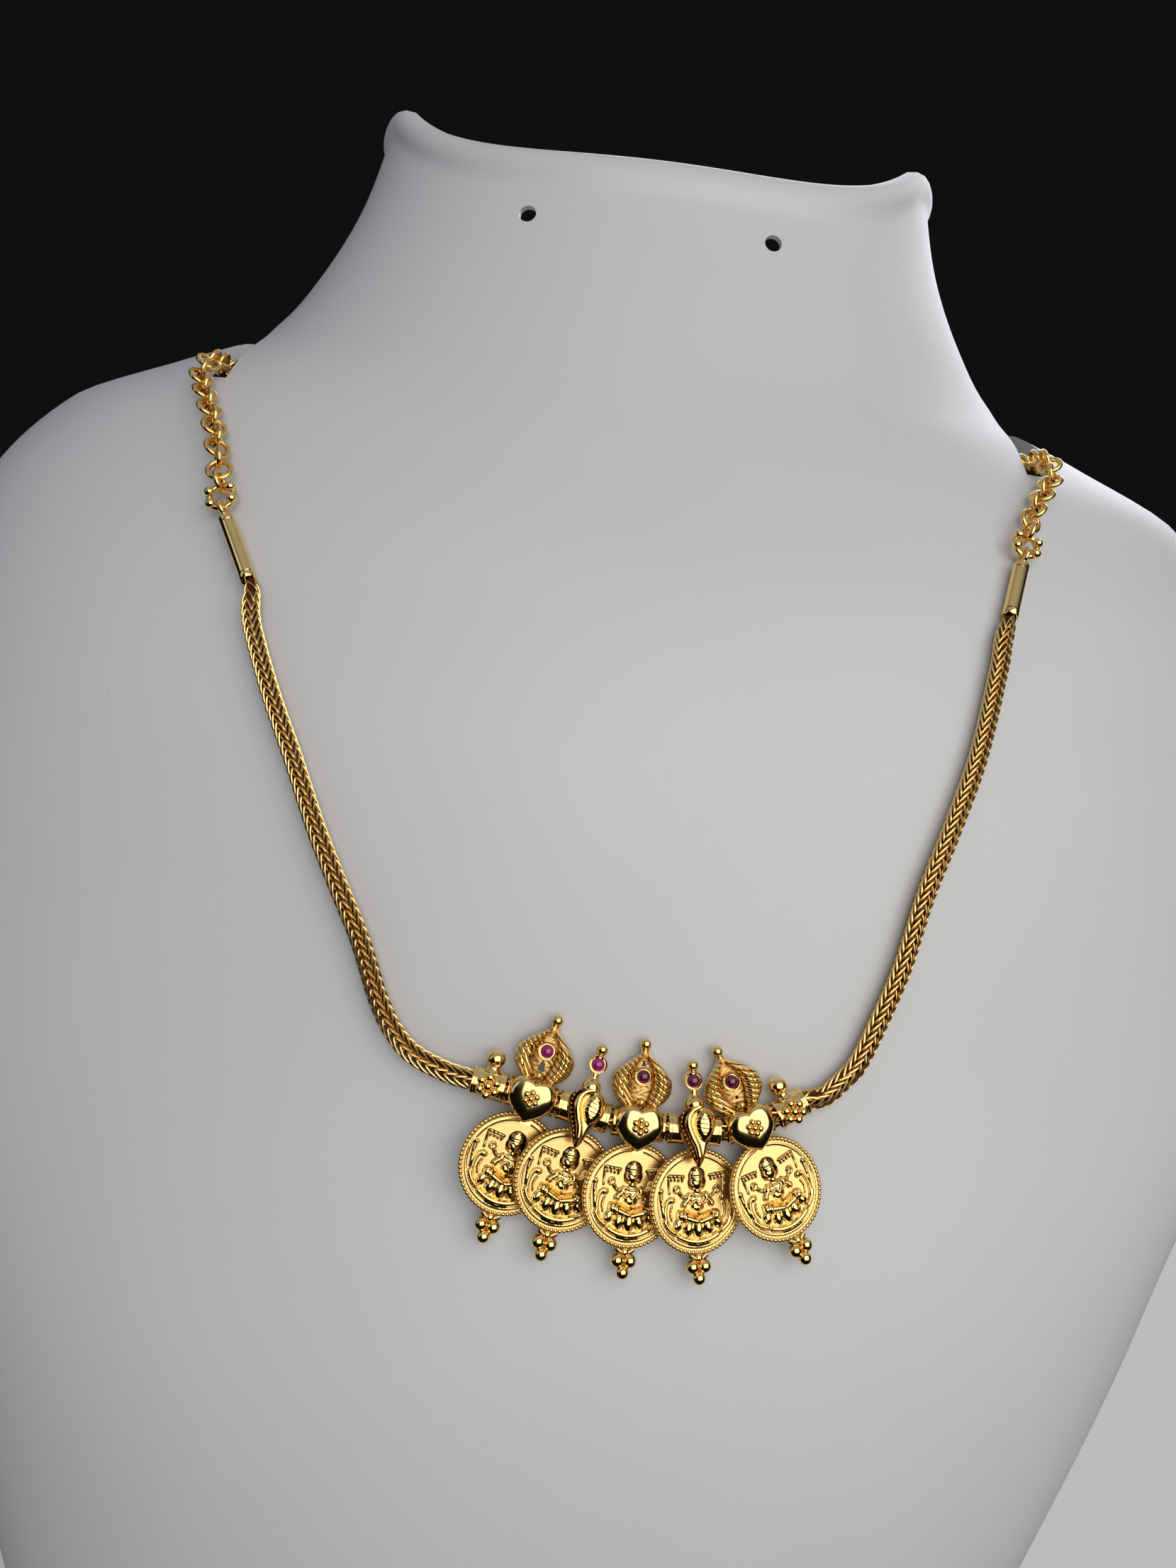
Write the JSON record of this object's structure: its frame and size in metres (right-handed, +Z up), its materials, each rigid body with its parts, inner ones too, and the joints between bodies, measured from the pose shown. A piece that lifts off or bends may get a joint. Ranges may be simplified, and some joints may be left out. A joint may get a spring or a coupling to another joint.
{
  "type": "temple jewellery necklace on neck bust stand",
  "caption": "Gold rope necklace with strung tube charms, hanging coins and small red cabochons, laid on a white moulded neck bust with an open back.",
  "frame": {"origin": "middle of the foot's underside, on the surface that the bust stands on", "axes": "+Z up, the bust's front faces -Y, +X is to the right as seen from the front"},
  "size_m": [0.2576, 0.1443, 0.3033],
  "materials": {
    "bust_plastic": "moulded white plastic with a satin sheen",
    "gold": "bright polished yellow gold",
    "rope_gold": "woven gold rope, deeper in its hollows",
    "ruby": "polished magenta red cabochon"
  },
  "bodies": {
    "root": {"neck_bust": "bust_plastic", "chain_left": "gold", "chain_right": "gold", "clasp": "gold", "end_ring_left": "gold", "end_ring_right": "gold", "ferrule_left": "gold", "ferrule_right": "gold", "braid_left": "rope_gold", "braid_right": "rope_gold", "end_bead_left": "gold", "end_bead_right": "gold", "heart_charm_1": "gold", "conch_charm_2": "gold", "heart_charm_3": "gold", "conch_charm_4": "gold", "heart_charm_5": "gold", "ruby_1": "ruby", "ruby_2": "ruby", "ruby_3": "ruby", "ruby_4": "ruby", "ruby_5": "ruby"}
  },
  "joints": []
}
